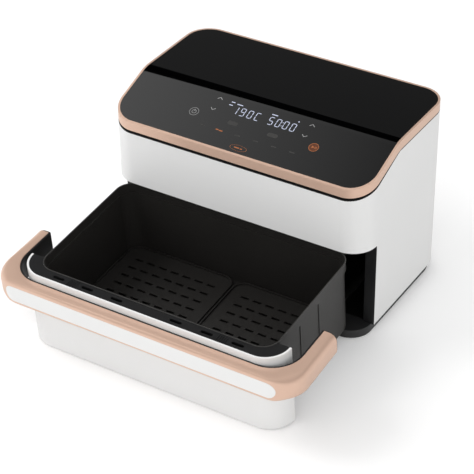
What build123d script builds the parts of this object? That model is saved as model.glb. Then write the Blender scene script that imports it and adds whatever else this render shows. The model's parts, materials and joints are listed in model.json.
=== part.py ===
from build123d import *
from math import atan2, cos, degrees, radians, sin
import os

# A countertop air fryer with one wide drawer over two cooking zones, shown with the drawer drawn
# out and its front edge let down to the counter. Millimetres, +X right, +Y back, +Z up. The origin
# is on the counter, under the middle of the whole machine as it stands with the drawer out.

os.makedirs("parts", exist_ok=True)

# Housing
body_width = 440.0
body_depth = 262.0
corner_radius = 40.0
shell_wall = 4.0
foot_height = 2.0
foot_radius = 12.0
foot_inset = 30.0
base_top = 16.0
base_inset = 5.5
base_front_inset = 7.0
band_bottom = 160.0
reveal = 1.0

# Lid: a glass plate bent once across, in a trim ring, over a dark shadow gap
lid_top = 304.0
glass_front = 268.5
bend_back = 102.0
bend_radius = 56.0
trim_height = 14.5
trim_wall = 3.4
glass_thickness = 4.0
glass_gap = 0.3
shadow_front = 5.0
shadow_rear = 1.5
deck_plate = 2.0
skirt_wall = 5.0
skirt_depth = 9.0
overrun = 20.0

# Drawer travel and the rollers at the front lip of the base
travel = 233.0
axle_inset = 14.0
axle_height = 16.0
roller_radius = 4.0
roller_width = 14.0
trunnion_radius = 1.6
trunnion_length = 3.0
glide_x = 150.0
slide_gap = 0.3
fit_gap = 0.2
toe_gap = 1.0

# Drawer, heights measured up from the underside of its skids
skid_height = 3.7
skid_width = 12.0
panel_foot = 1.7
panel_height = 134.5
panel_wall = 3.0
rim_height = 136.0
pot_wall = 1.2
pot_width = 396.0
pot_setback = 20.0
pot_length = 232.0
pot_corner = 26.0
pot_floor_radius = 9.0
rim_band = 16.0
rim_step = 2.5
rib_width = 5.0
rib_proud = 1.0
rib_back = (85.0, 137.0)

# Handle, a U bar that wraps round both front corners of the drawer
handle_half = 256.0
handle_proud = 22.0
handle_arm = 23.0
handle_low = 87.0
handle_high = 126.5
handle_edge = 6.0
handle_corner = 42.0
handle_length = 122.0
handle_lining = 3.0
tip_cap = 2.0
tip_inset = 1.5
tip_gap = 0.1
insert_depth = 1.6
insert_half = 228.0
handle_screw_x = (-165.0, -55.0, 55.0, 165.0)
screw_radius = 2.0

# Cooking chambers
zone_x = 98.0
liner_wall = 1.2
liner_half = 201.5
liner_corner = 24.0
ceiling = 167.0
shroud_height = 46.0
shroud_width = 182.0
shroud_length = 186.0
shroud_corner = 22.0
port_radius = 82.0
heater_radius = 75.0
heater_tube = 3.6
heater_leg = 2.6
leg_spread = 18.0
heater_drop = 26.0
fan_radius = 72.0
fan_height = 9.0
fan_drop = 12.0
shaft_radius = 4.0
motor_radius = 31.0
motor_height = 34.0
bracket_wall = 1.6
guard_wire = 1.3

# Crisper plates
plate_wall = 2.0
plate_gap = 3.0
plate_lift = 8.0
plate_corner = 20.0
bumper_radius = 4.5

lift = roller_radius + slide_gap
tilt = degrees(atan2(axle_height + lift + panel_foot - toe_gap, travel + axle_inset))
tilt_sin = sin(radians(tilt))
tilt_cos = cos(radians(tilt))

# How far the drawn out handle stands ahead of the housing, which centres the machine on the origin
panel_y = -(travel + axle_inset)
nose_y = panel_y - handle_proud + handle_edge
nose_z = lift + handle_high - handle_edge
reach = nose_z * tilt_sin + handle_edge - nose_y * tilt_cos - axle_inset
front = (reach - body_depth) / 2
back = front + body_depth
middle = (front + back) / 2
side = body_width / 2
axle_y = front + axle_inset
bend = front + bend_back
slope = (lid_top - glass_front) / bend_back

# The drawer is drawn in its own tilted frame, whose floor is the underside of the skids
normal = (0, -tilt_sin, tilt_cos)
deck = Plane(
    origin=(0, axle_y - lift * tilt_sin, axle_height + lift * tilt_cos),
    x_dir=(1, 0, 0),
    z_dir=normal,
)


def deck_wall(y):
    """A plane across the drawer, facing its front, at a place along it."""
    origin = deck.from_local_coords((0, y, 0))
    return Plane(origin=origin, x_dir=(1, 0, 0), z_dir=-deck.y_dir)


def plan(inset, front_inset=None):
    """The outline of the housing in plan, drawn in by an inset."""
    ahead = inset if front_inset is None else front_inset
    depth = body_depth - inset - ahead
    with Locations((0, front + ahead + depth / 2)):
        RectangleRounded(body_width - 2 * inset, depth, corner_radius - inset)


def lid_band(top_drop, front_drop, rear_drop):
    """The side view of a layer of the lid, from one depth under its top face to another."""
    start = front - overrun
    lead = overrun * slope
    level = lid_top - top_drop
    end = back + overrun
    low_front = glass_front - front_drop
    low_rear = lid_top - rear_drop
    low_lead = overrun * (low_rear - low_front) / bend_back
    Polygon(
        (start, glass_front - top_drop - lead),
        (bend, level),
        (end, level),
        (end, low_rear),
        (bend, low_rear),
        (start, low_front - low_lead),
        align=None,
    )


def save(part, name):
    part.label = name
    export_step(part, f"parts/{name}.step")


grille_z = 232.0
grille_width = 220.0
grille_height = 40.0
gland_x = 168.0
gland_radius = 11.0

# White outer shell: four walls with round corners, open at the lower front for the drawer
with BuildPart() as housing_shell:
    with BuildSketch(Plane.XY.offset(base_top)):
        plan(0)
        with Locations((0, middle)):
            RectangleRounded(
                body_width - 2 * shell_wall,
                body_depth - 2 * shell_wall,
                corner_radius - shell_wall,
                mode=Mode.SUBTRACT,
            )
    extrude(amount=lid_top)
    with BuildSketch(Plane.YZ):
        lid_band(-100, trim_height + shadow_front, trim_height + shadow_rear)
        fillet(
            vertices().filter_by_position(Axis.X, bend - 1, bend + 1).sort_by(Axis.Y)[0],
            bend_radius - trim_height,
        )
    extrude(amount=body_width, both=True, mode=Mode.SUBTRACT)
    opening_depth = corner_radius + reveal
    with BuildSketch(Plane.XY.offset(base_top)):
        with Locations((0, front + opening_depth / 2)):
            Rectangle(body_width + 2, opening_depth)
    extrude(amount=band_bottom - base_top, mode=Mode.SUBTRACT)
    with BuildSketch(Plane.XZ.offset(-back)):
        with Locations((0, grille_z)):
            Rectangle(grille_width, grille_height)
        with Locations((gland_x, grille_z)):
            Circle(gland_radius)
    extrude(amount=shell_wall * 2, both=True, mode=Mode.SUBTRACT)
save(housing_shell.part, "housing_shell")

# Dark base plate, a little smaller than the shell, with a round front lip and roller pockets
pocket_length = 2 * roller_radius + 1.6
pocket_width = roller_width + 1.0
cheek_width = 4.0
cheek_top = axle_height + trunnion_radius + 0.8
with BuildPart() as base_plate:
    with BuildSketch(Plane.XY.offset(foot_height)):
        plan(base_inset, base_front_inset)
    extrude(amount=base_top - foot_height - 0.3)
    with BuildSketch(Plane.XY.offset(base_top - 0.3)):
        for x in (-glide_x, glide_x):
            for hand in (-1, 1):
                with Locations((x + hand * (pocket_width + cheek_width) / 2, axle_y)):
                    Rectangle(cheek_width, pocket_length)
    extrude(amount=cheek_top - base_top + 0.3)
    with BuildSketch(Plane.XY.offset(cheek_top)):
        with Locations((-glide_x, axle_y), (glide_x, axle_y)):
            Rectangle(pocket_width, pocket_length)
    extrude(amount=axle_height - roller_radius - 0.8 - cheek_top, mode=Mode.SUBTRACT)
    for x in (-glide_x, glide_x):
        bearing_length = pocket_width + 2 * cheek_width + 4
        with BuildSketch(Plane.YZ.offset(x - bearing_length / 2)):
            with Locations((axle_y, axle_height)):
                Circle(trunnion_radius + fit_gap / 4)
        extrude(amount=bearing_length, mode=Mode.SUBTRACT)
save(base_plate.part, "base_plate")

# Nylon rollers in the lip, which the drawer runs over and tips about
with BuildPart() as lip_rollers:
    for x in (-glide_x, glide_x):
        with BuildSketch(Plane.YZ.offset(x - roller_width / 2)):
            with Locations((axle_y, axle_height)):
                Circle(roller_radius)
        extrude(amount=roller_width)
        with BuildSketch(Plane.YZ.offset(x - roller_width / 2 - trunnion_length)):
            with Locations((axle_y, axle_height)):
                Circle(trunnion_radius)
        extrude(amount=roller_width + 2 * trunnion_length)
save(lip_rollers.part, "lip_rollers")

# Four rubber feet under the base
foot_x = side - foot_inset
with BuildPart() as feet:
    with BuildSketch(Plane.XY):
        for y in (front + foot_inset, back - foot_inset):
            with Locations((-foot_x, y), (foot_x, y)):
                Circle(foot_radius)
    extrude(amount=foot_height)
save(feet.part, "feet")

# Thin steel cavity: a box open at the front, with a round port in its ceiling over each zone
liner_front = corner_radius + reveal + 5.0
liner_back = body_depth - shell_wall - 3.0
liner_middle = front + (liner_front + liner_back) / 2
liner_length = liner_back - liner_front
with BuildPart() as cavity_liner:
    with BuildSketch(Plane.XY.offset(base_top)):
        with Locations((0, liner_middle)):
            Rectangle(2 * (liner_half + liner_wall), liner_length)
        fillet(vertices().group_by(Axis.Y)[-1], liner_corner)
    extrude(amount=ceiling + liner_wall - base_top)
    with BuildSketch(Plane.XY.offset(base_top + liner_wall)):
        with Locations((0, liner_middle - liner_wall)):
            Rectangle(2 * liner_half, liner_length)
        fillet(vertices().group_by(Axis.Y)[-1], liner_corner - liner_wall)
    extrude(amount=ceiling - base_top - liner_wall, mode=Mode.SUBTRACT)
    with BuildSketch(Plane.XY.offset(ceiling)):
        with Locations((-zone_x, liner_middle), (zone_x, liner_middle)):
            Circle(port_radius)
    extrude(amount=liner_wall, mode=Mode.SUBTRACT)
save(cavity_liner.part, "cavity_liner")

# Black frame round the mouth of the cavity, closing the gap between liner and shell
frame_wall = 4.0
frame_back = liner_front - 0.3
frame_half = side - shell_wall - 0.3
frame_rise = 24.0
with BuildPart() as cavity_frame:
    with BuildSketch(Plane.XZ.offset(-(front + frame_back))):
        with Locations((0, (base_top + ceiling + frame_rise) / 2)):
            Rectangle(2 * frame_half, ceiling + frame_rise - base_top)
        with Locations((0, (base_top + ceiling) / 2)):
            Rectangle(2 * liner_half, ceiling - base_top, mode=Mode.SUBTRACT)
    extrude(amount=frame_wall)
save(cavity_frame.part, "cavity_frame")

# Nylon strips on the cavity floor that carry the closed drawer's skids
strip_start = liner_front + 4
strip_top = axle_height + roller_radius
with BuildPart() as floor_glides:
    with BuildSketch(Plane.XY.offset(base_top + liner_wall)):
        for x in (-glide_x, glide_x):
            with Locations((x, front + (strip_start + liner_back - 12) / 2)):
                Rectangle(skid_width - 2, liner_back - 12 - strip_start)
    extrude(amount=strip_top - base_top - liner_wall)
save(floor_glides.part, "floor_glides")

# Black lid carrier: a bent plate under the glass with a skirt inside the shell
skirt_inset = shell_wall + glass_gap
window_width = 150.0
window_length = 26.0
window_y = front + 60.0
with BuildPart() as lid_frame:
    with BuildSketch(Plane.XY.offset(ceiling)):
        plan(skirt_inset)
    extrude(amount=lid_top)
    with BuildSketch(Plane.YZ):
        lid_band(
            glass_thickness + glass_gap,
            trim_height + shadow_front + skirt_depth,
            trim_height + shadow_rear + skirt_depth,
        )
        fillet(vertices().filter_by_position(Axis.X, bend - 1, bend + 1), bend_radius - glass_thickness)
    extrude(amount=body_width, both=True, mode=Mode.INTERSECT)
    with BuildSketch(Plane.XY.offset(ceiling)):
        plan(skirt_inset + skirt_wall)
    hollow = extrude(amount=lid_top, mode=Mode.PRIVATE)
    with BuildSketch(Plane.YZ):
        lid_band(
            glass_thickness + glass_gap + deck_plate,
            trim_height + shadow_front + 4 * skirt_depth,
            trim_height + shadow_rear + 4 * skirt_depth,
        )
        fillet(vertices().filter_by_position(Axis.X, bend - 1, bend + 1), bend_radius - 2 * glass_thickness)
    under = extrude(amount=body_width, both=True, mode=Mode.PRIVATE)
    add(hollow & under, mode=Mode.SUBTRACT)
    with BuildSketch(Plane.XY.offset(ceiling)):
        with Locations((0, window_y)):
            Rectangle(window_width, window_length)
    extrude(amount=lid_top, mode=Mode.SUBTRACT)
save(lid_frame.part, "lid_frame")

# Rose gold trim ring round the edge of the glass
with BuildPart() as trim_ring:
    with BuildSketch(Plane.XY.offset(ceiling)):
        plan(0)
        with Locations((0, middle)):
            RectangleRounded(
                body_width - 2 * trim_wall,
                body_depth - 2 * trim_wall,
                corner_radius - trim_wall,
                mode=Mode.SUBTRACT,
            )
    extrude(amount=lid_top)
    with BuildSketch(Plane.YZ):
        lid_band(0, trim_height, trim_height)
        fillet(vertices().filter_by_position(Axis.X, bend - 1, bend + 1), bend_radius)
    extrude(amount=body_width, both=True, mode=Mode.INTERSECT)
save(trim_ring.part, "trim_ring")

# Black glass, one plate with a soft bend between the flat top and the sloped control panel
with BuildPart() as glass_top:
    with BuildSketch(Plane.XY.offset(ceiling)):
        plan(trim_wall + glass_gap)
    extrude(amount=lid_top)
    with BuildSketch(Plane.YZ):
        lid_band(0, glass_thickness, glass_thickness)
        fillet(vertices().filter_by_position(Axis.X, bend - 1, bend + 1), bend_radius)
    extrude(amount=body_width, both=True, mode=Mode.INTERSECT)
save(glass_top.part, "glass_top")

# Control electronics under the sloped glass
under_glass = (glass_thickness + glass_gap + deck_plate + 0.3) * (1 + slope**2) ** 0.5
panel_plane = Plane(
    origin=(0, window_y, glass_front + slope * (window_y - front) - under_glass),
    x_dir=(1, 0, 0),
    z_dir=(0, -slope, 1),
)
board_width = 190.0
board_length = 62.0
board_wall = 1.6
board_drop = 7.0
board_edge = 5.0
screw_pitch_x = board_width - 2 * board_edge
screw_pitch_y = board_length - 2 * board_edge
with BuildPart() as display_module:
    with BuildSketch(panel_plane):
        Rectangle(window_width - 4, window_length - 4)
    extrude(amount=-board_drop + 0.3)
    with BuildSketch(panel_plane):
        Rectangle(window_width - 4, window_length - 8)
    extrude(amount=deck_plate)
save(display_module.part, "display_module")

with BuildPart() as control_board:
    with BuildSketch(panel_plane.offset(-board_drop)):
        Rectangle(board_width, board_length)
        with GridLocations(screw_pitch_x, screw_pitch_y, 2, 2):
            Circle(1.6, mode=Mode.SUBTRACT)
    extrude(amount=-board_wall)
    with BuildSketch(panel_plane.offset(-board_drop - board_wall)):
        with Locations((-60, 6), (0, 10), (55, 4)):
            Rectangle(22, 16)
    extrude(amount=-6)
save(control_board.part, "control_board")

# Stand-offs and screws that hang the board from the lid carrier
with BuildPart() as board_screws:
    with BuildSketch(panel_plane.offset(-board_drop + 0.1)):
        with GridLocations(screw_pitch_x, screw_pitch_y, 2, 2):
            Circle(3)
    extrude(amount=board_drop - 0.2)
    with BuildSketch(panel_plane.offset(-board_drop - board_wall - 2)):
        with GridLocations(screw_pitch_x, screw_pitch_y, 2, 2):
            Circle(1.3)
    extrude(amount=board_wall + 3)
    with BuildSketch(panel_plane.offset(-board_drop - board_wall - 0.1)):
        with GridLocations(screw_pitch_x, screw_pitch_y, 2, 2):
            Circle(2.8)
    extrude(amount=-1.8)
save(board_screws.part, "board_screws")

# One heating zone over each half of the drawer: shroud, heater, guard, fan, motor
shroud_base = ceiling + liner_wall
shroud_top = shroud_base + shroud_height
heater_z = shroud_top - heater_drop
motor_base = shroud_top + bracket_wall
zone_y = liner_middle
leg_y = zone_y - (heater_radius**2 - leg_spread**2) ** 0.5


def zone_shroud(x):
    with BuildPart() as shroud:
        with BuildSketch(Plane.XY.offset(shroud_base)):
            with Locations((x, zone_y)):
                RectangleRounded(shroud_width, shroud_length, shroud_corner)
        extrude(amount=shroud_height)
        with BuildSketch(Plane.XY.offset(shroud_base)):
            with Locations((x, zone_y)):
                RectangleRounded(
                    shroud_width - 2 * liner_wall,
                    shroud_length - 2 * liner_wall,
                    shroud_corner - liner_wall,
                )
        extrude(amount=shroud_height - liner_wall, mode=Mode.SUBTRACT)
        with BuildSketch(Plane.XY.offset(shroud_top)):
            with Locations((x, zone_y)):
                Circle(shaft_radius + 2)
            with Locations((x - leg_spread, leg_y), (x + leg_spread, leg_y)):
                Circle(heater_leg + fit_gap)
        extrude(amount=-2 * liner_wall, mode=Mode.SUBTRACT)
    return shroud.part


def zone_heater(x):
    """A double ring of heater tube with two cold legs that pass up through the shroud."""
    with BuildPart() as heater:
        for radius in (heater_radius, heater_radius - 3.2 * heater_tube):
            with BuildSketch(Plane.XZ.offset(-zone_y)):
                with Locations((x + radius, heater_z)):
                    Circle(heater_tube)
            revolve(axis=Axis((x, zone_y, 0), (0, 0, 1)))
        with BuildSketch(Plane.XY.offset(heater_z)):
            for hand in (-1, 1):
                with Locations((x, zone_y + hand * (heater_radius - 1.6 * heater_tube))):
                    Rectangle(heater_tube, 3.2 * heater_tube)
        extrude(amount=heater_tube / 2, both=True)
        with BuildSketch(Plane.XY.offset(heater_z)):
            with Locations((x - leg_spread, leg_y), (x + leg_spread, leg_y)):
                Circle(heater_leg)
        extrude(amount=shroud_top + 6 - heater_z)
    return heater.part


def zone_guard(x):
    """Wire guard that closes the port under the heater: rings on two crossed wires."""
    with BuildPart() as guard:
        for radius in (port_radius - 4, port_radius - 22, port_radius - 40, port_radius - 58):
            with BuildSketch(Plane.XY.offset(shroud_base + 0.2)):
                with Locations((x, zone_y)):
                    Circle(radius)
                    Circle(radius - 2 * guard_wire, mode=Mode.SUBTRACT)
            extrude(amount=2 * guard_wire)
        with BuildSketch(Plane.XY.offset(shroud_base + 0.2)):
            with Locations((x, zone_y)):
                Rectangle(2 * port_radius + 8, 2 * guard_wire)
                Rectangle(2 * guard_wire, 2 * port_radius + 8)
        extrude(amount=2 * guard_wire)
    return guard.part


def zone_fan(x):
    """Pressed fan: a disc with a ring of upright blades, on its shaft."""
    fan_z = shroud_top - fan_drop
    with BuildPart() as fan:
        with BuildSketch(Plane.XY.offset(fan_z + fan_height - 1.5)):
            with Locations((x, zone_y)):
                Circle(fan_radius - 14)
        extrude(amount=1.5)
        with BuildSketch(Plane.XY.offset(fan_z)):
            with Locations((x, zone_y)):
                with PolarLocations(fan_radius - 22, 8, start_angle=22.5):
                    Rectangle(36, 1.6, rotation=28)
        extrude(amount=fan_height)
        with BuildSketch(Plane.XY.offset(fan_z - 3)):
            with Locations((x, zone_y)):
                Circle(shaft_radius + 4)
        extrude(amount=fan_height + 3)
        with BuildSketch(Plane.XY.offset(fan_z)):
            with Locations((x, zone_y)):
                Circle(shaft_radius)
        extrude(amount=motor_base - fan_z + 5)
    return fan.part


def zone_motor(x):
    with BuildPart() as motor:
        with BuildSketch(Plane.XY.offset(motor_base)):
            with Locations((x, zone_y)):
                Circle(motor_radius)
        extrude(amount=motor_height)
        with BuildSketch(Plane.XY.offset(motor_base + motor_height)):
            with Locations((x, zone_y)):
                Circle(10)
        extrude(amount=4)
        with BuildSketch(Plane.XY.offset(motor_base)):
            with Locations((x, zone_y)):
                Circle(shaft_radius + fit_gap / 2)
        extrude(amount=7, mode=Mode.SUBTRACT)
        with BuildSketch(Plane.XY.offset(motor_base + 9)):
            with Locations((x, zone_y)):
                with PolarLocations(motor_radius, 10):
                    Rectangle(3, 5)
        extrude(amount=motor_height - 18, mode=Mode.SUBTRACT)
    return motor.part


for hand, zone in ((-1, "left"), (1, "right")):
    save(zone_shroud(hand * zone_x), f"{zone}_shroud")
    save(zone_heater(hand * zone_x), f"{zone}_heater")
    save(zone_guard(hand * zone_x), f"{zone}_guard")
    save(zone_fan(hand * zone_x), f"{zone}_fan")
    save(zone_motor(hand * zone_x), f"{zone}_motor")

# Steel bridge that both motors stand on, resting on the shrouds
bridge_length = 76.0
with BuildPart() as motor_bridge:
    with BuildSketch(Plane.XY.offset(shroud_top)):
        with Locations((0, zone_y)):
            Rectangle(2 * zone_x + 90, bridge_length)
        with Locations((-zone_x, zone_y), (zone_x, zone_y)):
            Circle(shaft_radius + 2, mode=Mode.SUBTRACT)
    extrude(amount=bracket_wall)
save(motor_bridge.part, "motor_bridge")

# Temperature probes beside the heaters
with BuildPart() as temperature_probes:
    for hand in (-1, 1):
        with BuildSketch(Plane.XY.offset(shroud_base + 8)):
            with Locations((hand * (zone_x + 76), zone_y + 60)):
                Circle(2.2)
        extrude(amount=shroud_height - 8 - liner_wall)
save(temperature_probes.part, "temperature_probes")

# Rear vent grille
vent_pitch = 15.0
vent_slot = 7.0
vent_count = 14
with BuildPart() as rear_grille:
    with BuildSketch(Plane.XZ.offset(-back)):
        with Locations((0, grille_z)):
            Rectangle(grille_width - 2 * fit_gap, grille_height - 2 * fit_gap)
            with GridLocations(vent_pitch, 0, vent_count, 1):
                SlotOverall(grille_height - 8, vent_slot, rotation=90, mode=Mode.SUBTRACT)
    extrude(amount=shell_wall + 1)
save(rear_grille.part, "rear_grille")

# Mains gland at the back
cord_radius = 4.0
with BuildPart() as mains_gland:
    with BuildSketch(Plane.XZ.offset(-back)):
        with Locations((gland_x, grille_z)):
            Circle(gland_radius - fit_gap)
            Circle(cord_radius, mode=Mode.SUBTRACT)
    extrude(amount=shell_wall + fit_gap)
    with BuildSketch(Plane.XZ.offset(-back + shell_wall + fit_gap)):
        with Locations((gland_x, grille_z)):
            Circle(gland_radius + 2)
            Circle(cord_radius, mode=Mode.SUBTRACT)
    extrude(amount=5)
save(mains_gland.part, "mains_gland")

# Safety switch behind the cavity frame, pressed by the closed drawer
with BuildPart() as drawer_switch:
    with BuildSketch(Plane.XY.offset(ceiling - 30)):
        with Locations((liner_half + liner_wall + 6.3, front + liner_front + 14)):
            Rectangle(12, 22)
    extrude(amount=14)
save(drawer_switch.part, "drawer_switch")

# Screws that hold the base to the shell, seen as flat heads under it
base_head = 0.8
with BuildPart() as base_screws:
    with BuildSketch(Plane.XY.offset(foot_height - base_head)):
        with Locations((0, middle)):
            with GridLocations(body_width - 60, body_depth - 120, 2, 2):
                Circle(4)
    extrude(amount=base_head)
save(base_screws.part, "base_screws")

# Cooking pot: a thin walled tub with round corners, a rolled rim band and two ribs a side
pot_front = panel_y + pot_setback
pot_middle = pot_front + pot_length / 2
body_half = pot_width / 2 - rim_step
pot_floor = skid_height + pot_wall
rib_foot = 12.0
screw_z = rim_height - 28
pot_axis = Axis(deck.origin, deck.z_dir)


def pot_outline(inset):
    with Locations((0, pot_middle)):
        RectangleRounded(pot_width - 2 * inset, pot_length - 2 * inset, pot_corner - inset)


with BuildPart() as pot_inside:
    with BuildSketch(deck.offset(pot_floor)):
        pot_outline(rim_step + pot_wall)
    extrude(amount=rim_height)
    fillet(faces().sort_by(pot_axis)[0].edges(), pot_floor_radius - pot_wall)
    with BuildSketch(deck.offset(rim_height - rim_band + pot_wall)):
        pot_outline(pot_wall)
    extrude(amount=rim_height)

with BuildPart() as pot:
    with BuildSketch(deck.offset(skid_height)):
        pot_outline(rim_step)
    extrude(amount=rim_height - skid_height - rim_band)
    fillet(faces().sort_by(pot_axis)[0].edges(), pot_floor_radius)
    with BuildSketch(deck.offset(rim_height - rim_band)):
        pot_outline(0)
    extrude(amount=rim_band)
    with BuildSketch(deck.offset(skid_height + rib_foot)):
        for y in rib_back:
            with Locations((0, pot_front + y)):
                Rectangle(2 * (body_half + rib_proud), rib_width)
    extrude(amount=rim_height - rim_band - skid_height - rib_foot)
    add(pot_inside.part, mode=Mode.SUBTRACT)
    with BuildSketch(deck_wall(pot_front)):
        for x in handle_screw_x:
            with Locations((x, screw_z)):
                Circle(screw_radius + fit_gap / 2)
    extrude(amount=-3 * pot_wall - rim_step, mode=Mode.SUBTRACT)
save(pot.part, "pot")

# Two nylon skids under the pot, which run on the rollers
with BuildPart() as drawer_skids:
    with BuildSketch(deck):
        for x in (-glide_x, glide_x):
            with Locations((x, pot_middle + pot_floor_radius / 2)):
                Rectangle(skid_width, pot_length - pot_floor_radius)
    extrude(amount=skid_height)
save(drawer_skids.part, "drawer_skids")


def wrap(half, lead, radius, tail):
    """A round cornered outline that ends square at a tail line behind the drawer's front."""
    depth = 2 * handle_length
    with Locations((0, panel_y - lead + depth / 2)):
        RectangleRounded(2 * half, depth, radius)
    with Locations((0, panel_y + tail + depth)):
        Rectangle(2 * half + 2, 2 * depth, mode=Mode.SUBTRACT)


def carve(half, lead, radius):
    """Takes a round cornered outline, open at the back, out of the sketch."""
    depth = 4 * handle_length
    with Locations((0, panel_y - lead + depth / 2)):
        RectangleRounded(2 * half, depth, radius, mode=Mode.SUBTRACT)


# White front panel that wraps round the corners of the drawer
handle_middle = (handle_low + handle_high) / 2
with BuildPart() as front_panel:
    with BuildSketch(deck.offset(panel_foot)):
        wrap(side, 0, corner_radius, corner_radius)
        carve(side - panel_wall, -panel_wall, corner_radius - panel_wall)
    extrude(amount=panel_height)
    with BuildSketch(deck_wall(panel_y)):
        for x in handle_screw_x:
            with Locations((x, handle_middle)):
                Circle(screw_radius + fit_gap / 2)
    extrude(amount=-panel_wall - 1, mode=Mode.SUBTRACT)
save(front_panel.part, "front_panel")

# Black frame between panel and pot: a slotted top strip over two deep walls
frame_gap = 0.3
strip_height = 3.0
strip_wall = 2.4
frame_depth = 46.0
slot_length = 20.0
slot_width = 5.0
slot_x = (-151.0, -101.0, -50.0, 50.0, 101.0, 151.0)
web_x = (-76.0, 0.0, 76.0)
strip_middle = panel_y + (panel_wall + pot_setback) / 2


def frame_outline(inset):
    inward = panel_wall + frame_gap + inset
    wrap(side - inward, -inward, corner_radius - inward, corner_radius)


def pot_cutout(gap):
    with Locations((0, pot_middle)):
        RectangleRounded(
            pot_width + 2 * gap, pot_length + 2 * gap, pot_corner + gap, mode=Mode.SUBTRACT
        )


with BuildPart() as rim_frame:
    with BuildSketch(deck.offset(rim_height)):
        frame_outline(0)
        pot_cutout(frame_gap)
        for x in slot_x:
            with Locations((x, strip_middle)):
                SlotOverall(slot_length, slot_width, mode=Mode.SUBTRACT)
    extrude(amount=-strip_height)
    with BuildSketch(deck.offset(rim_height - strip_height)):
        frame_outline(0)
        carve(
            side - panel_wall - frame_gap - strip_wall,
            -(panel_wall + frame_gap + strip_wall),
            corner_radius - panel_wall - frame_gap - strip_wall,
        )
    extrude(amount=-frame_depth)
    with BuildSketch(deck.offset(rim_height - strip_height)):
        with Locations((0, pot_front - frame_gap - strip_wall / 2)):
            Rectangle(pot_width - 2 * pot_corner, strip_wall)
        for x in web_x:
            with Locations((x, strip_middle)):
                Rectangle(strip_wall, pot_setback - panel_wall - 2 * frame_gap)
    extrude(amount=-frame_depth)
    with BuildSketch(deck_wall(panel_y)):
        for x in handle_screw_x:
            with Locations((x, handle_middle), (x, screw_z)):
                Circle(screw_radius + 1.6)
    extrude(amount=-pot_setback - 1, mode=Mode.SUBTRACT)
save(rim_frame.part, "rim_frame")

# Handle bar with a recess for its front insert
tail = handle_length - handle_proud
bar_half = handle_half - handle_arm + handle_lining
bar_corner = handle_corner - 8
insert_height = handle_high - handle_low - 2 * handle_edge
handle_front = panel_y - handle_proud


def on_outside(edge):
    """True for an edge of the bar that lies on its outer face."""
    spot = deck.to_local_coords(edge.center())
    ahead = spot.Y - handle_front
    return abs(spot.X) > bar_half + 3 and ahead < handle_length - 2 or ahead < 3


with BuildPart() as insert_space:
    with BuildSketch(deck.offset(handle_low)):
        wrap(handle_half + 5, handle_proud + 5, handle_corner + 5, 0)
        carve(
            handle_half - insert_depth,
            handle_proud - insert_depth,
            handle_corner - insert_depth,
        )
    extrude(amount=handle_high - handle_low)
    with BuildSketch(deck_wall(handle_front - 10)):
        with Locations((0, handle_middle)):
            SlotOverall(2 * insert_half, insert_height)
    extrude(amount=-handle_proud - 30, mode=Mode.INTERSECT)

with BuildPart() as handle_bar:
    with BuildSketch(deck.offset(handle_low)):
        wrap(handle_half, handle_proud, handle_corner, tail)
        carve(bar_half, handle_lining, bar_corner)
    extrude(amount=handle_high - handle_low)
    rims = faces().sort_by(pot_axis)
    fillet((rims[0].edges() + rims[-1].edges()).filter_by(on_outside), handle_edge)
    add(insert_space.part, mode=Mode.SUBTRACT)
    with BuildSketch(deck_wall(panel_y)):
        for x in handle_screw_x:
            with Locations((x, handle_middle)):
                Circle(screw_radius + fit_gap / 2)
    extrude(amount=12, mode=Mode.SUBTRACT)
save(handle_bar.part, "handle_bar")

# White insert let into the front face of the bar
with BuildPart() as handle_insert:
    with BuildSketch(deck.offset(handle_low)):
        wrap(handle_half, handle_proud, handle_corner, 0)
        carve(
            handle_half - insert_depth + fit_gap / 2,
            handle_proud - insert_depth + fit_gap / 2,
            handle_corner - insert_depth + fit_gap / 2,
        )
    extrude(amount=handle_high - handle_low)
    with BuildSketch(deck_wall(handle_front - 10)):
        with Locations((0, handle_middle)):
            SlotOverall(2 * insert_half - 2 * fit_gap, insert_height - 2 * fit_gap)
    extrude(amount=-handle_proud - 30, mode=Mode.INTERSECT)
save(handle_insert.part, "handle_insert")

# Black lining on the inner face of the bar, closing its tips
with BuildPart() as handle_lining_part:
    with BuildSketch(deck.offset(handle_low + 0.8)):
        wrap(bar_half - fit_gap, handle_lining - fit_gap, bar_corner - fit_gap, tail)
        carve(bar_half - handle_lining, fit_gap, bar_corner - handle_lining)
    extrude(amount=handle_high - handle_low - 1.6)
    cap_x = handle_half - handle_arm / 2 - tip_inset / 2
    cap_y = panel_y + tail + tip_gap + tip_cap / 2
    with BuildSketch(deck.offset(handle_low + tip_inset)):
        with Locations((-cap_x, cap_y), (cap_x, cap_y)):
            RectangleRounded(handle_arm - tip_inset, tip_cap, tip_cap / 2 - 0.1)
    extrude(amount=handle_high - handle_low - 2 * tip_inset)
    with BuildSketch(deck_wall(panel_y)):
        for x in handle_screw_x:
            with Locations((x, handle_middle)):
                Circle(screw_radius + fit_gap / 2)
    extrude(amount=handle_lining + 1, mode=Mode.SUBTRACT)
save(handle_lining_part.part, "handle_lining")

# Screws from inside the drawer front into the handle, and from the pot into the frame
with BuildPart() as handle_screws:
    with BuildSketch(deck_wall(panel_y + panel_wall + 0.05)):
        for x in handle_screw_x:
            with Locations((x, handle_middle)):
                Circle(screw_radius)
    extrude(amount=panel_wall + 10)
    with BuildSketch(deck_wall(panel_y + panel_wall + 0.05)):
        for x in handle_screw_x:
            with Locations((x, handle_middle)):
                Circle(screw_radius + 1.4)
    extrude(amount=-2)
save(handle_screws.part, "handle_screws")

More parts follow.
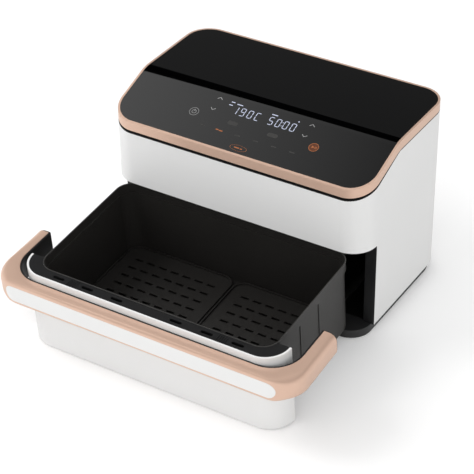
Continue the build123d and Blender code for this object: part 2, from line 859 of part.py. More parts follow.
with BuildPart() as pot_screws:
    with BuildSketch(deck_wall(pot_front + rim_step + pot_wall + 0.05)):
        for x in handle_screw_x:
            with Locations((x, screw_z)):
                Circle(screw_radius + 2)
    extrude(amount=-1.5)
    with BuildSketch(deck_wall(pot_front + rim_step + pot_wall + 0.1)):
        for x in handle_screw_x:
            with Locations((x, screw_z)):
                Circle(screw_radius)
    extrude(amount=rim_step + pot_wall + strip_wall + 2)
save(pot_screws.part, "pot_screws")

# Two perforated crisper plates on soft bumpers, one in each half of the pot
inner_half = body_half - pot_wall
plate_width = inner_half - 1.5 * plate_gap
plate_length = pot_length - 2 * (rim_step + pot_wall) - 2 * plate_gap
plate_z = pot_floor + plate_lift
plate_rim = 3.0
hole_pitch = (22.0, 20.0)
hole_size = (14.0, 4.0)
hole_count = (7, 9)


def crisper_plate(x):
    with BuildPart() as plate:
        with BuildSketch(deck.offset(plate_z)):
            with Locations((x, pot_middle)):
                RectangleRounded(plate_width, plate_length, plate_corner)
                with GridLocations(*hole_pitch, *hole_count):
                    Rectangle(*hole_size, mode=Mode.SUBTRACT)
        extrude(amount=plate_wall)
        with BuildSketch(deck.offset(plate_z + plate_wall)):
            with Locations((x, pot_middle)):
                RectangleRounded(plate_width, plate_length, plate_corner)
                RectangleRounded(
                    plate_width - 2 * plate_wall,
                    plate_length - 2 * plate_wall,
                    plate_corner - plate_wall,
                    mode=Mode.SUBTRACT,
                )
        extrude(amount=plate_rim)
    return plate.part


def crisper_bumpers(x):
    with BuildPart() as bumpers:
        with BuildSketch(deck.offset(pot_floor + 0.1)):
            with Locations((x, pot_middle)):
                with GridLocations(plate_width - 30, plate_length - 30, 2, 2):
                    Circle(bumper_radius)
        extrude(amount=plate_lift - 0.2)
    return bumpers.part


for hand, zone in ((-1, "left"), (1, "right")):
    plate_x = hand * (plate_gap + plate_width) / 2
    save(crisper_plate(plate_x), f"{zone}_crisper_plate")
    save(crisper_bumpers(plate_x), f"{zone}_bumpers")
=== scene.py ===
import json
import math

import bpy
from mathutils import Matrix, Vector


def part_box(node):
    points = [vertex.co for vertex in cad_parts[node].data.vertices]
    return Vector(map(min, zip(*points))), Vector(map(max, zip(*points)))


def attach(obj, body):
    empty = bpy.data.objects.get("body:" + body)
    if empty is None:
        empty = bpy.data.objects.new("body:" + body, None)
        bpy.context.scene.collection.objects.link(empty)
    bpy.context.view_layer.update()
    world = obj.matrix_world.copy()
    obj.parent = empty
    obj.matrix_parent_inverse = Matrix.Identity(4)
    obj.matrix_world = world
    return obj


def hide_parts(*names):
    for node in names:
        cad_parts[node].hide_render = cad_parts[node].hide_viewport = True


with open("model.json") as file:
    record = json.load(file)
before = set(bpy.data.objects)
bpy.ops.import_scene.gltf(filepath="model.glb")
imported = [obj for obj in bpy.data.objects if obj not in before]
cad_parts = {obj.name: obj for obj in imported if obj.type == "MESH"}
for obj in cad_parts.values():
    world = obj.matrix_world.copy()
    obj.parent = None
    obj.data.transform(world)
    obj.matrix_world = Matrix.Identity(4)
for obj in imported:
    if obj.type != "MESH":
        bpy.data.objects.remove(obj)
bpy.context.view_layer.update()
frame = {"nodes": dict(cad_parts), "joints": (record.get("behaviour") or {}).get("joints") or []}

# Camera. It looks down on the right-hand front corner of the machine, through a long lens, from
# about the height of someone standing at the counter.
camera_right = Vector((0.851407, 0.524341, -0.013135))
camera_up = Vector((-0.288604, 0.489242, 0.823013))
camera_back = Vector((0.437966, -0.696928, 0.567871))
bpy.ops.object.camera_add(location=(1.14331, -1.80735, 1.59883))
camera = bpy.context.object
camera.rotation_mode = "QUATERNION"
turn = Matrix((camera_right, camera_up, camera_back)).transposed()
camera.rotation_quaternion = turn.to_quaternion()
camera.data.sensor_width = 36.0
camera.data.lens = 131.778
camera.data.clip_end = 20.0
bpy.context.scene.camera = camera
bpy.context.scene.view_settings.view_transform = "Standard"


# Counter and studio. A plain white counter with a soft light from the upper left, a weaker one from
# the front right, and a dim room behind that the black glass reflects.
class Shade:
    """A value in a material's nodes. Sums written on it add the nodes that work them out."""

    def __init__(self, tree, socket):
        self.tree = tree
        self.socket = socket

    def node(self, kind, settings=None, out=0, **sockets):
        made = self.tree.nodes.new(kind)
        for name, value in (settings or {}).items():
            if name == "stops":
                ramp = made.color_ramp.elements
                while len(ramp) < len(value):
                    ramp.new(1.0)
                for element, (place, colour) in zip(ramp, value):
                    element.position = place
                    element.color = (*colour, 1.0)
            else:
                setattr(made, name, value)
        for name, value in sockets.items():
            feed(self.tree, made.inputs[name.replace("_", " ")], value)
        return Shade(self.tree, made.outputs[out])

    def sum(self, operation, *terms):
        made = self.tree.nodes.new("ShaderNodeMath")
        made.operation = operation
        for socket, term in zip(made.inputs, terms):
            feed(self.tree, socket, term)
        return Shade(self.tree, made.outputs[0])

    def __add__(self, other):
        return self.sum("ADD", self, other)

    __radd__ = __add__

    def __mul__(self, other):
        return self.sum("MULTIPLY", self, other)

    __rmul__ = __mul__

    def __sub__(self, other):
        return self.sum("SUBTRACT", self, other)

    def __rsub__(self, other):
        return self.sum("SUBTRACT", other, self)

    def __gt__(self, other):
        return self.sum("GREATER_THAN", self, other)

    def mix(self, low, high):
        """One colour where this value is 0 and another where it is 1."""
        made = self.tree.nodes.new("ShaderNodeMix")
        made.data_type = "RGBA"
        feed(self.tree, made.inputs[0], self)
        feed(self.tree, made.inputs[6], low)
        feed(self.tree, made.inputs[7], high)
        return Shade(self.tree, made.outputs[2])

    def noise(self, scale, detail=2.0):
        return self.node("ShaderNodeTexNoise", Vector=self, Scale=scale, Detail=detail)

    def stretched(self, x, y, z):
        return self.node("ShaderNodeMapping", Vector=self, Scale=(x, y, z))


def feed(tree, socket, value):
    if isinstance(value, Shade):
        tree.links.new(value.socket, socket)
    elif isinstance(value, tuple) and len(value) == 3 and socket.type == "RGBA":
        socket.default_value = (*value, 1.0)
    else:
        socket.default_value = value


class Finish(Shade):
    """A material for one finish, which starts as the place on the piece."""

    def __init__(self, name):
        self.material = bpy.data.materials.new(name)
        self.material.use_nodes = True
        tree = self.material.node_tree
        self.surface = tree.nodes["Principled BSDF"]
        super().__init__(tree, tree.nodes.new("ShaderNodeTexCoord").outputs["Object"])

    def set(self, **sockets):
        for name, value in sockets.items():
            feed(self.tree, self.surface.inputs[name.replace("_", " ")], value)
        return self

    def bump(self, height, depth):
        """Raises the surface by a height from 0 to 1 times a depth in metres."""
        made = self.node("ShaderNodeBump", Height=height, Distance=depth, Strength=1.0)
        return self.set(Normal=made)

    def on(self, *nodes):
        for name in nodes:
            piece = frame["nodes"][name] if isinstance(name, str) else name
            if not piece.data.materials:
                piece.data.materials.append(self.material)
            for slot in piece.material_slots:
                slot.material = self.material
        return self


world = bpy.data.worlds.new("studio")
bpy.context.scene.world = world
world.use_nodes = True
sky = Shade(world.node_tree, world.node_tree.nodes.new("ShaderNodeTexCoord").outputs["Generated"])
parts = sky.node("ShaderNodeSeparateXYZ", Vector=sky).socket.node.outputs
leftness = Shade(world.node_tree, parts["X"]) * -7.0 - 2.2
height = Shade(world.node_tree, parts["Z"]) * 0.5 + 0.5
room_stops = [
    (0.00, (0.95, 0.95, 0.95)),
    (0.50, (0.95, 0.95, 0.95)),
    (0.60, (0.70, 0.70, 0.70)),
    (0.70, (0.18, 0.18, 0.18)),
    (0.765, (0.11, 0.11, 0.11)),
    (0.78, (0.00, 0.00, 0.00)),
    (0.89, (0.00, 0.00, 0.00)),
]
room = height.node("ShaderNodeValToRGB", {"stops": room_stops}, Fac=height)
overhead = height > 0.898
rays = sky.node("ShaderNodeLightPath", out=0)
glossy = Shade(world.node_tree, rays.socket.node.outputs["Is Glossy Ray"])
softbox = leftness.node("ShaderNodeClamp", Value=leftness, Min=0.25, Max=1.6)
lit = glossy.mix((0.86, 0.86, 0.86), overhead.mix(room, softbox))
seen = rays.mix(lit, (1.0, 1.0, 1.0))
background = world.node_tree.nodes["Background"]
feed(world.node_tree, background.inputs["Color"], seen)
background.inputs["Strength"].default_value = 1.0


def soft_light(name, place, target, size, power):
    bpy.ops.object.light_add(type="AREA", location=place)
    lamp = bpy.context.object
    lamp.name = name
    lamp.data.shape = "DISK"
    lamp.data.size = size
    lamp.data.energy = power
    lamp.rotation_euler = (Vector(target) - Vector(place)).to_track_quat("-Z", "Y").to_euler()
    lamp.visible_glossy = False
    return lamp


soft_light("key_light", (-1.6, -0.7, 2.0), (0.0, 0.0, 0.1), 1.2, 20.0)
soft_light("fill_light", (1.1, -2.3, 1.1), (0.0, 0.0, 0.15), 1.6, 12.0)

bpy.ops.object.select_all(action="DESELECT")
bpy.ops.mesh.primitive_plane_add(size=12.0)
counter = bpy.context.object
counter.name = "counter"
paper = Finish("counter_white")
paper.set(Base_Color=(0.86, 0.86, 0.86), Roughness=0.9, Specular_IOR_Level=0.1)
camera_ray = paper.node("ShaderNodeLightPath", out=0)
paper.set(Emission_Color=camera_ray.mix((0.0, 0.0, 0.0), (0.17, 0.17, 0.17)), Emission_Strength=1.0)
paper.on(counter)

# White shell, drawer front and handle insert. Injection moulded in satin white plastic, with the
# fine even texture that the spark-eroded mould leaves, and hardly any variation in colour.
white = Finish("satin_white_moulding")
grain = white.noise(2600.0, 3.0)
cloud = white.noise(9.0, 2.0)
white.set(
    Base_Color=cloud.mix((0.775, 0.775, 0.77), (0.805, 0.805, 0.80)),
    Roughness=0.34 + 0.10 * grain,
)
white.bump(grain, 0.000012)
white.on("housing_shell", "front_panel", "handle_insert")

# Rose gold trim ring and handle bar. The ring is anodised aluminium and the bar is a moulding with
# a satin metallic coating of the same colour, with fine flakes that glint a little.
rose = Finish("rose_gold_satin")
flake = rose.noise(5200.0, 1.0)
shade = rose.noise(14.0, 2.0)
rose.set(
    Base_Color=shade.mix((0.70, 0.475, 0.365), (0.77, 0.53, 0.41)),
    Metallic=0.4,
    Roughness=0.30 + 0.12 * flake,
)
rose.bump(flake, 0.000006)
rose.on("trim_ring")

# Black glass. Tempered, polished, and printed black underneath, so only its reflections show,
# with the faint unevenness of wiped glass.
glass = Finish("black_glass")
wipe = glass.stretched(3.0, 14.0, 8.0).noise(6.0, 4.0)
glass.set(
    Base_Color=wipe.mix((0.0004, 0.0004, 0.0005), (0.0008, 0.0008, 0.0009)),
    Roughness=0.035 + 0.03 * wipe,
    IOR=1.5,
)
glass.on("glass_top")

# Black mouldings: the lid carrier, the frame in the mouth of the cavity, the slotted strip behind
# the drawer front and the lining of the handle, all in matt black plastic with a fine texture.
black = Finish("fine_black_moulding")
spark = black.noise(1900.0, 3.0)
haze = black.noise(30.0, 2.0)
black.set(
    Base_Color=haze.mix((0.0075, 0.0075, 0.008), (0.013, 0.013, 0.014)),
    Roughness=0.36 + 0.16 * spark,
)
black.bump(spark, 0.00002)
black.on("lid_frame", "cavity_frame", "rim_frame")
black.on("mains_gland", "drawer_switch", "display_module")

# Base plate and vent grille. Dark grey plastic, a shade lighter than the black mouldings.
grey = Finish("dark_grey_moulding")
pebble = grey.noise(1500.0, 3.0)
tone = grey.noise(22.0, 2.0)
grey.set(
    Base_Color=tone.mix((0.020, 0.020, 0.021), (0.028, 0.028, 0.029)),
    Roughness=0.38 + 0.14 * pebble,
)
grey.bump(pebble, 0.00002)
grey.on("base_plate", "rear_grille")

# Cooking pot and crisper plates. Drawn and pressed aluminium with a dark non-stick coating, which
# is faintly speckled and has a soft sheen.
coat = Finish("non_stick_coating")
fleck = coat.noise(1700.0, 2.0)
film = coat.noise(12.0, 2.0)
speck = fleck > 0.64
coat.set(
    Base_Color=speck.mix(film.mix((0.017, 0.016, 0.015), (0.026, 0.024, 0.022)), (0.050, 0.047, 0.044)),
    Roughness=0.38 + 0.14 * film - 0.08 * speck,
    Metallic=0.15,
)
coat.bump(fleck, 0.00003)
coat.on("pot", "left_crisper_plate", "right_crisper_plate")

# Cavity liner. Sheet steel under black oven enamel, which runs a little thicker in places. Its colour is
# set darker still, as painted shade for the deep cavity.
enamel = Finish("oven_enamel")
run = enamel.noise(60.0, 3.0)
enamel.set(
    Base_Color=run.mix((0.003, 0.003, 0.003), (0.007, 0.007, 0.007)),
    Roughness=0.30 + 0.2 * run,
)
enamel.bump(run, 0.0001)
enamel.on("cavity_liner")

# Rubber feet and crisper bumpers. Matt black silicone rubber with a dusty bloom.
rubber = Finish("black_rubber")
bloom = rubber.noise(220.0, 4.0)
rubber.set(
    Base_Color=bloom.mix((0.014, 0.014, 0.014), (0.030, 0.030, 0.029)),
    Roughness=0.72 + 0.2 * bloom,
)
rubber.bump(bloom, 0.00006)
rubber.on("feet", "left_bumpers", "right_bumpers")

# Rollers, glides and skids. Self-lubricating nylon, milky grey on the rollers in the lip and black on the
# glides and skids that the drawer runs on. The glides deep in the cavity are black partly as painted shade.
nylon = Finish("grey_nylon")
milk = nylon.noise(90.0, 2.0)
nylon.set(
    Base_Color=milk.mix((0.16, 0.16, 0.155), (0.21, 0.21, 0.20)),
    Roughness=0.42 + 0.1 * milk,
)
nylon.bump(milk, 0.00003)
nylon.on("lip_rollers")
worn = Finish("black_nylon")
scuff = worn.stretched(60.0, 4.0, 60.0).noise(8.0, 3.0)
worn.set(
    Base_Color=scuff.mix((0.012, 0.012, 0.012), (0.035, 0.035, 0.034)),
    Roughness=0.40 + 0.2 * scuff,
)
worn.bump(scuff, 0.00003)
worn.on("drawer_skids", "floor_glides")

# Shrouds, bridge, guards, heaters, probes and screws. Bright pressed steel with the fine lines of
# rolling, and the bluish brown that heat gives it near the heaters.
steel = Finish("rolled_steel")
lines = steel.stretched(12.0, 900.0, 900.0).noise(2.0, 3.0)
heat = steel.noise(25.0, 2.0)
steel.set(
    Base_Color=heat.mix((0.47, 0.44, 0.40), (0.56, 0.55, 0.54)),
    Metallic=1.0,
    Roughness=0.28 + 0.18 * lines,
)
steel.bump(lines, 0.000015)
steel.on("left_shroud", "right_shroud", "motor_bridge", "left_guard", "right_guard", "left_heater")
steel.on("right_heater", "temperature_probes", "board_screws", "base_screws", "handle_screws", "pot_screws")

# Fans. Pressed aluminium, bright, with the faint rings of spinning.
fan_metal = Finish("pressed_aluminium")
dull = fan_metal.noise(140.0, 3.0)
fan_metal.set(
    Base_Color=dull.mix((0.60, 0.60, 0.61), (0.72, 0.72, 0.73)),
    Metallic=1.0,
    Roughness=0.34 + 0.2 * dull,
)
fan_metal.bump(dull, 0.00003)
fan_metal.on("left_fan", "right_fan")

# Motors. Steel cans under grey paint with a light orange peel.
paint = Finish("motor_paint")
peel = paint.noise(420.0, 2.0)
paint.set(
    Base_Color=peel.mix((0.075, 0.075, 0.085), (0.10, 0.10, 0.11)),
    Roughness=0.34 + 0.12 * peel,
)
paint.bump(peel, 0.00004)
paint.on("left_motor", "right_motor")

# Control board. Green lacquered laminate with a darker weave of tracks.
board = Finish("board_lacquer")
tracks = board.node("ShaderNodeTexBrick", out=1, Vector=board, Scale=160.0)
board.set(
    Base_Color=tracks.mix((0.012, 0.10, 0.04), (0.03, 0.19, 0.08)),
    Roughness=0.30 + 0.1 * tracks,
)
board.bump(tracks, 0.00002)
board.on("control_board")

# Control panel graphics. Flat marks just under the sloped glass: two groups of lit digits, icons
# and arrows printed in pale grey, two lit in orange, and unlit labels that barely show. The printed
# icons and the unlit labels glow as well, and that glow is painted light on the print, not a lamp.
trim_low, trim_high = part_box("trim_ring")
panel_rise, panel_run = 0.0355, 0.102
trim_height = 0.0145
panel_slope = math.atan2(panel_rise, panel_run)
panel_edge = Vector((0.0, trim_low.y, trim_low.z + trim_height))
panel_turn = Matrix.Translation(panel_edge) @ Matrix.Rotation(panel_slope, 4, "X")
mark_depth = 0.00008
stroke = 0.0011


def place(piece, matrix):
    """Puts a piece's place into its mesh, which leaves the object at the origin."""
    piece.data.transform(matrix @ piece.matrix_basis)
    piece.matrix_basis = Matrix.Identity(4)
    piece.data.update()


def sheet(length, width):
    """Starts a flat oblong, and leaves it in edit mode with all of it selected."""
    bpy.ops.object.select_all(action="DESELECT")
    bpy.ops.mesh.primitive_plane_add(size=1.0)
    piece = bpy.context.object
    piece.scale = (length, width, 1.0)
    bpy.ops.object.transform_apply(location=False, rotation=False, scale=True)
    bpy.ops.object.mode_set(mode="EDIT")
    bpy.ops.mesh.select_all(action="SELECT")
    return piece


def thicken(height):
    """Extrudes what is selected in edit mode upwards by a height."""
    bpy.ops.mesh.extrude_region_move(TRANSFORM_OT_translate={"value": (0, 0, height)})


def bar(x, y, length, width, lean=0.0, point=0.0):
    """A flat stroke, with pointed ends where point is above 0."""
    piece = sheet(length, width)
    if point:
        bpy.ops.mesh.bevel(affect="VERTICES", offset=point, segments=1)
    thicken(mark_depth)
    bpy.ops.object.mode_set(mode="OBJECT")
    place(piece, Matrix.Translation((x, y, 0)) @ Matrix.Rotation(math.radians(lean), 4, "Z"))
    return piece


def ring(x, y, radius, width, stretch=(1.0, 1.0), sides=48):
    """A flat ring, or an oval when it is stretched."""
    bpy.ops.object.select_all(action="DESELECT")
    bpy.ops.mesh.primitive_circle_add(vertices=sides, radius=radius, fill_type="NGON")
    piece = bpy.context.object
    bpy.ops.object.mode_set(mode="EDIT")
    bpy.ops.mesh.select_all(action="SELECT")
    bpy.ops.mesh.inset(thickness=width)
    bpy.ops.mesh.delete(type="FACE")
    bpy.ops.mesh.select_all(action="SELECT")
    thicken(mark_depth)
    bpy.ops.object.mode_set(mode="OBJECT")
    place(piece, Matrix.Translation((x, y, 0)) @ Matrix.Diagonal((*stretch, 1.0, 1.0)))
    return piece


def joined(name, pieces, matrix, finish, body="housing"):
    """Makes one piece of several, puts it on the machine and makes its faces point outwards."""
    bpy.ops.object.select_all(action="DESELECT")
    for piece in pieces:
        piece.select_set(True)
    bpy.context.view_layer.objects.active = pieces[0]
    if len(pieces) > 1:
        bpy.ops.object.join()
    whole = bpy.context.view_layer.objects.active
    whole.name = name
    place(whole, matrix)
    bpy.ops.object.mode_set(mode="EDIT")
    bpy.ops.mesh.select_all(action="SELECT")
    bpy.ops.mesh.normals_make_consistent(inside=False)
    bpy.ops.object.mode_set(mode="OBJECT")
    finish.on(whole)
    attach(whole, body)
    return whole


def digit(centre, strokes):
    """Seven-stroke numeral: top, upper right, lower right, bottom, lower left, upper left, middle."""
    low, high, half, gap = 0.0703, 0.0845, 0.0033, 0.0007
    middle = (low + high) / 2
    upper, lower = (middle + high) / 2, (low + middle) / 2
    upright = middle - low - gap
    where = {
        "a": (0, high, 0),
        "b": (half, upper, 90),
        "c": (half, lower, 90),
        "d": (0, low, 0),
        "e": (-half, lower, 90),
        "f": (-half, upper, 90),
        "g": (0, middle, 0),
    }
    for name in strokes:
        x, y, lean = where[name]
        length = upright if lean else 2 * half - gap
        yield bar(centre + x, y, length, stroke, lean, stroke * 0.49)


def lamp_finish(name, colour, strength, body):
    """A mark of coloured ink that also glows a little, uneven where the lamp is weaker. On lit marks the
    glow is their lamp; on printed and unlit marks it is painted light.
    """
    lit_mark = Finish(name)
    uneven = lit_mark.noise(260.0, 2.0)
    dimmed = tuple(c * 0.8 for c in colour)
    lit_mark.set(
        Base_Color=body,
        Roughness=0.4,
        Emission_Color=uneven.mix(dimmed, colour),
        Emission_Strength=strength,
    )
    return lit_mark


cool_light = lamp_finish("display_light", (0.74, 0.80, 1.0), 0.95, (0.02, 0.02, 0.03))
# The pale grey print glows: painted light standing in for light on the print, not a lamp.
pale_ink_painted_glow = lamp_finish("pale_ink_painted_glow", (0.60, 0.60, 0.60), 0.62, (0.05, 0.05, 0.05))
amber_light = lamp_finish("amber_light", (0.56, 0.18, 0.06), 0.75, (0.05, 0.02, 0.01))
amber_dark = lamp_finish("amber_shadow", (0.20, 0.055, 0.02), 0.55, (0.02, 0.01, 0.005))
# The unlit labels glow faintly: painted light standing in for light on the print, not a lamp.
faint_painted_glow = lamp_finish("unlit_ink_painted_glow", (0.05, 0.048, 0.045), 0.55, (0.02, 0.02, 0.02))

digits = []
for centre, strokes in (
    (-0.0383, "bc"), (-0.0256, "abcdfg"), (-0.0128, "abcdef"), (0.0, "adef"),
    (0.0230, "acdfg"), (0.0354, "abcdef"), (0.0478, "abcdef"), (0.0602, "abcdef"),
):
    digits.extend(digit(centre, strokes))
for y in (0.0742, 0.0806):
    digits.append(bar(0.0416, y, 0.0014, 0.0014, 0.0, 0.0004))
digits.append(bar(0.0632, 0.0903, 0.0022, 0.0022, 0.0, 0.0007))
for x, y, length in (
    (-0.0490, 0.0903, 0.0064), (-0.0500, 0.0842, 0.0062),
    (-0.0367, 0.0890, 0.0100), (0.0232, 0.0896, 0.0102),
):
    digits.append(bar(x, y, length, 0.0015, 0.0, 0.0004))
joined("display_digits", digits, panel_turn, cool_light)

arrows = []
for x, y, way in (
    (-0.0720, 0.0906, 1), (-0.0725, 0.0682, -1), (0.0855, 0.0912, 1), (0.0835, 0.0690, -1),
):
    for hand in (-1, 1):
        arrows.append(bar(x + hand * 0.00215, y, 0.0056, 0.0009, -hand * way * 42.0, 0.0003))
joined("touch_arrows", arrows, panel_turn, pale_ink_painted_glow)

power = [ring(-0.0971, 0.0537, 0.0075, 0.0005), ring(-0.0971, 0.0537, 0.0036, 0.0006)]
power.append(bar(-0.0971, 0.0563, 0.0034, 0.0006, 90.0, 0.0002))
joined("power_icon", power, panel_turn, pale_ink_painted_glow)

start = [ring(0.1071, 0.0544, 0.0078, 0.0008)]
bpy.ops.object.select_all(action="DESELECT")
bpy.ops.mesh.primitive_circle_add(vertices=3, radius=0.0028, fill_type="NGON")
play = bpy.context.object
bpy.ops.object.mode_set(mode="EDIT")
bpy.ops.mesh.select_all(action="SELECT")
thicken(mark_depth)
bpy.ops.object.mode_set(mode="OBJECT")
place(play, Matrix.Translation((0.1053, 0.0544, 0)) @ Matrix.Rotation(math.radians(-90), 4, "Z"))
start.append(play)
for x in (0.1093, 0.1113):
    start.append(bar(x, 0.0544, 0.0042, 0.0009, 90.0, 0.0002))
for x, y, length in (
    (-0.0455, 0.0346, 0.0050), (-0.0390, 0.0340, 0.0064),
    (0.0002, 0.0137, 0.0090), (0.0078, 0.0134, 0.0040),
):
    start.append(bar(x, y, length, 0.0019, 0.0, 0.0006))
start.append(ring(0.0031, 0.0135, 0.0140, 0.0006, (1.0, 0.38), 64))
joined("start_icon", start, panel_turn, amber_light)
under_icon = panel_turn @ Matrix.Diagonal((1, 1, 0.4, 1))
joined("start_shade", [ring(0.1071, 0.0544, 0.0070, 0.0066)], under_icon, amber_dark)

faint = []
for x in (-0.0720, -0.0105, 0.0207, 0.0512, 0.0817):
    faint.append(bar(x, 0.0344, 0.0090, 0.0020, 0.0, 0.0006))
for x in (-0.0290, 0.0388):
    faint.append(bar(x, 0.0532, 0.0168, 0.0072, 0.0, 0.0020))
joined("unlit_labels", faint, panel_turn, faint_painted_glow)

# Handle. One moulding that wraps round both front corners of the drawer, full and rounded on its
# outer side, with a black lining on its inner face and a black edge at its tips.
joint = {j["name"]: j for j in frame["joints"]}
run_out = Vector(joint["drawer_slide"]["axis"])
upward = Vector((1.0, 0.0, 0.0)).cross(run_out)
drawer_turn = Matrix((Vector((1.0, 0.0, 0.0)), run_out, upward)).transposed().to_4x4()
tip_above_deck = 0.0043
drawer_turn.translation = Vector(joint["drawer_tip"]["pos_m"]) + tip_above_deck * upward
panel_face = -0.247
bar_low, bar_high = 0.087, 0.1265
arm_reach = 0.100
tail = panel_face + arm_reach


def round_u(half, lead, corner, tip):
    """Points along a U that goes round the drawer's front, from its left tip to its right tip."""
    front = panel_face - lead
    steps, straight_steps, tip_length = 14, 8, 0.012
    left = []
    for step in range(steps + 1):
        angle = math.radians(180 + 90 * step / steps)
        across = -half + corner + corner * math.cos(angle)
        left.append((across, front + corner + corner * math.sin(angle)))
    left = [(-half, tip), (-half, tip - tip_length), *left]
    middle = []
    for step in range(1, straight_steps):
        middle.append((-half + corner + (2 * half - 2 * corner) * step / straight_steps, front))
    return left + middle + [(-x, y) for x, y in reversed(left)]


def rounded(across, up, radius, start, turn, steps):
    """Points round one corner of a section, clockwise from an angle in degrees."""
    for step in range(steps + 1):
        angle = math.radians(start - turn * step)
        yield across + radius * math.cos(angle), up + radius * math.sin(angle)


def swept(name, outer, inner, low, high, rounding, inner_rounding, finish):
    """A solid between two U lines, whose outer edges have their own rounding at each point."""
    rings = []
    edge = inner_rounding
    for (xo, yo), (xi, yi), soft in zip(outer, inner, rounding):
        reach = math.hypot(xo - xi, yo - yi)
        section = [
            *rounded(reach - soft, high - soft, soft, 90, 15, 6),
            *rounded(reach - soft, low + soft, soft, 0, 15, 6),
            *rounded(edge, low + edge, edge, -90, 30, 3),
            *rounded(edge, high - edge, edge, 180, 30, 3),
        ]
        ring_points = []
        for u, z in section:
            ring_points.append((xi + (xo - xi) * u / reach, yi + (yo - yi) * u / reach, z))
        rings.append(ring_points)
    count = len(rings[0])
    points = [point for one in rings for point in one]
    faces = [tuple(range(count)), tuple(reversed(range(len(points) - count, len(points))))]
    for a in range(len(rings) - 1):
        for b in range(count):
            c = (b + 1) % count
            faces.append((a * count + b, (a + 1) * count + b, (a + 1) * count + c, a * count + c))
    mesh = bpy.data.meshes.new(name)
    mesh.from_pydata(points, [], faces)
    piece = bpy.data.objects.new(name, mesh)
    bpy.context.collection.objects.link(piece)
    whole = joined(name, [piece], drawer_turn, finish, "drawer")
    bpy.ops.object.shade_smooth_by_angle(angle=math.radians(40))
    return whole


bar_outer = round_u(0.256, 0.0217, 0.042, tail)
bar_inner = round_u(0.236, 0.003, 0.048, tail)
front_softness, extra_at_arms = 0.0055, 0.0065
corner_start, corner_blend = 0.222, 0.022
softness = []
for x, y in bar_outer:
    share = min(1.0, max(0.0, (abs(x) - corner_start) / corner_blend))
    softness.append(front_softness + extra_at_arms * share * share * (3 - 2 * share))
handle = swept("handle_shell", bar_outer, bar_inner, bar_low, bar_high, softness, 0.0012, rose)
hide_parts("handle_bar")
lining_outer = round_u(0.2362, 0.0032, 0.0482, tail)
lining_inner = round_u(0.2330, 0.0002, 0.0450, tail)
lining_set_back, lining_edge = 0.0008, 0.0006
lining = swept(
    "handle_inner_lining", lining_outer, lining_inner,
    bar_low + lining_set_back, bar_high - lining_set_back,
    [lining_edge] * len(lining_outer), lining_edge, black,
)
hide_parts("handle_lining")
cap_set_back, cap_softness, cap_edge = 0.0006, 0.0115, 0.0010
for side, name in ((-1, "left_tip_cap"), (1, "right_tip_cap")):
    outer_line, inner_line = [], []
    for outwards, inwards, along in (
        (0.2555, 0.2333, 0.0), (0.2555, 0.2333, 0.0015), (0.2548, 0.2340, 0.0020),
    ):
        outer_line.append((side * outwards, tail + along))
        inner_line.append((side * inwards, tail + along))
    cap = swept(
        name, outer_line, inner_line, bar_low + cap_set_back, bar_high - cap_set_back,
        [cap_softness] * len(outer_line), cap_edge, black,
    )

# Rolled rim of the pot. The pot's top edge is rolled over to a smooth bead, which catches the light. The
# bead is coloured lighter than the coating: partly rubbed coating, partly a painted highlight.
rim_across, rim_along, rim_corner, bead_radius = 0.3948, 0.2308, 0.0254, 0.0009
rim_level, rim_middle = 0.1359, -0.111
rim = sheet(rim_across, rim_along)
bpy.ops.mesh.bevel(affect="VERTICES", offset=rim_corner, segments=10)
bpy.ops.mesh.delete(type="ONLY_FACE")
bpy.ops.object.mode_set(mode="OBJECT")
bpy.ops.object.convert(target="CURVE")
rim.data.bevel_depth = bead_radius
rim.data.bevel_resolution = 3
bpy.ops.object.convert(target="MESH")
# Lighter than the coating: partly rubbed coating, partly a painted highlight along the rim.
bead = Finish("rolled_rim")
rub_and_highlight = bead.noise(90.0, 3.0)
bead.set(
    Base_Color=rub_and_highlight.mix((0.045, 0.044, 0.042), (0.10, 0.097, 0.092)),
    Metallic=0.5,
    Roughness=0.26 + 0.14 * rub_and_highlight,
)
bead.bump(rub_and_highlight, 0.00002)
on_rim = drawer_turn @ Matrix.Translation((0.0, rim_middle, rim_level))
rim = joined("pot_rim_bead", [bpy.context.object], on_rim, bead, "drawer")
bpy.ops.object.shade_smooth()

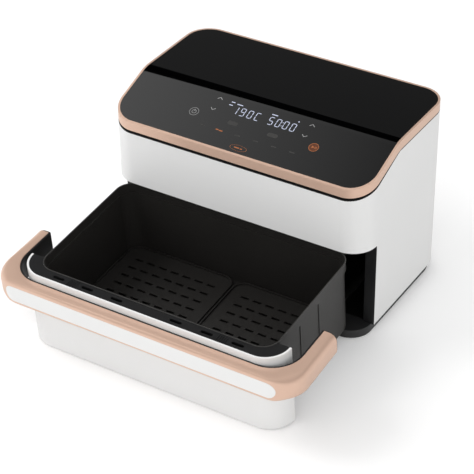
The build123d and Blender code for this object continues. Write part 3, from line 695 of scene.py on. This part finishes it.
# Ribbed pads. Two small groups of fine ribs moulded on the slotted strip behind the drawer front.
rib_width, rib_length, rib_height, rib_pitch = 0.0013, 0.0125, 0.0010, 0.0034
strip_middle, pad_place = -0.2357, 0.126
rows = []
for middle in (-pad_place, pad_place):
    for step in range(-2, 3):
        rib = sheet(rib_width, rib_length)
        thicken(rib_height)
        bpy.ops.mesh.select_all(action="SELECT")
        bpy.ops.mesh.bevel(offset=0.0003, segments=2)
        bpy.ops.object.mode_set(mode="OBJECT")
        place(rib, Matrix.Translation((middle + step * rib_pitch, strip_middle, 0.0)))
        rows.append(rib)
on_strip = drawer_turn @ Matrix.Translation((0.0, 0.0, rim_level))
ribs = joined("latch_ribs", rows, on_strip, black, "drawer")

# Black edging. A thin black strip lies along the top of the shell under the trim ring, as painted shade for
# the gap there, and black strips cover the cut front edges of the side walls, so that no white edge shows
# beside the opening.
bpy.ops.object.select_all(action="DESELECT")
# A black strip on the shell's top edge: painted shade for the dark gap under the trim ring.
gap_shade_strip = bpy.data.objects.new("lid_gap_shade", frame["nodes"]["trim_ring"].data.copy())
bpy.context.collection.objects.link(gap_shade_strip)
front_line = trim_low.y
bend_line = front_line + panel_run
rear_gap, extra_front_gap, sunk, shade_strip_height = 0.0015, 0.0035, 0.0002, 0.0010
for point in gap_shade_strip.data.vertices:
    ahead = min(1.0, max(0.0, (bend_line - point.co.y) / panel_run))
    lid_line = trim_high.z - panel_rise * ahead
    share = 1.0 if point.co.z > lid_line - trim_height / 2 else 0.0
    shell_top = lid_line - trim_height - rear_gap - extra_front_gap * ahead
    point.co.z = shell_top - sunk + shade_strip_height * share
gap_shade_strip.select_set(True)
bpy.context.view_layer.objects.active = gap_shade_strip
bpy.ops.object.mode_set(mode="EDIT")
bpy.ops.mesh.select_all(action="SELECT")
bpy.ops.mesh.remove_doubles(threshold=0.00001)
bpy.ops.object.mode_set(mode="OBJECT")
gap_shade_strip = joined("lid_gap_shade", [gap_shade_strip], Matrix.Identity(4), black)
wall_edge, mouth_height, strip_thickness = 0.0041, 0.1438, 0.0006
wall_middle, mouth_set_back, mouth_middle = 0.21795, 0.0412, 0.088
upright = Matrix.Rotation(math.radians(90), 4, "X")
edging = []
for side in (-1, 1):
    strip = sheet(wall_edge, mouth_height)
    thicken(strip_thickness)
    bpy.ops.mesh.select_all(action="SELECT")
    bpy.ops.mesh.bevel(offset=0.0001, segments=1)
    bpy.ops.object.mode_set(mode="OBJECT")
    beside = Vector((side * wall_middle, front_line + mouth_set_back, mouth_middle))
    place(strip, Matrix.Translation(beside) @ upright)
    edging.append(strip)
strips = joined("mouth_edging", edging, Matrix.Identity(4), black)
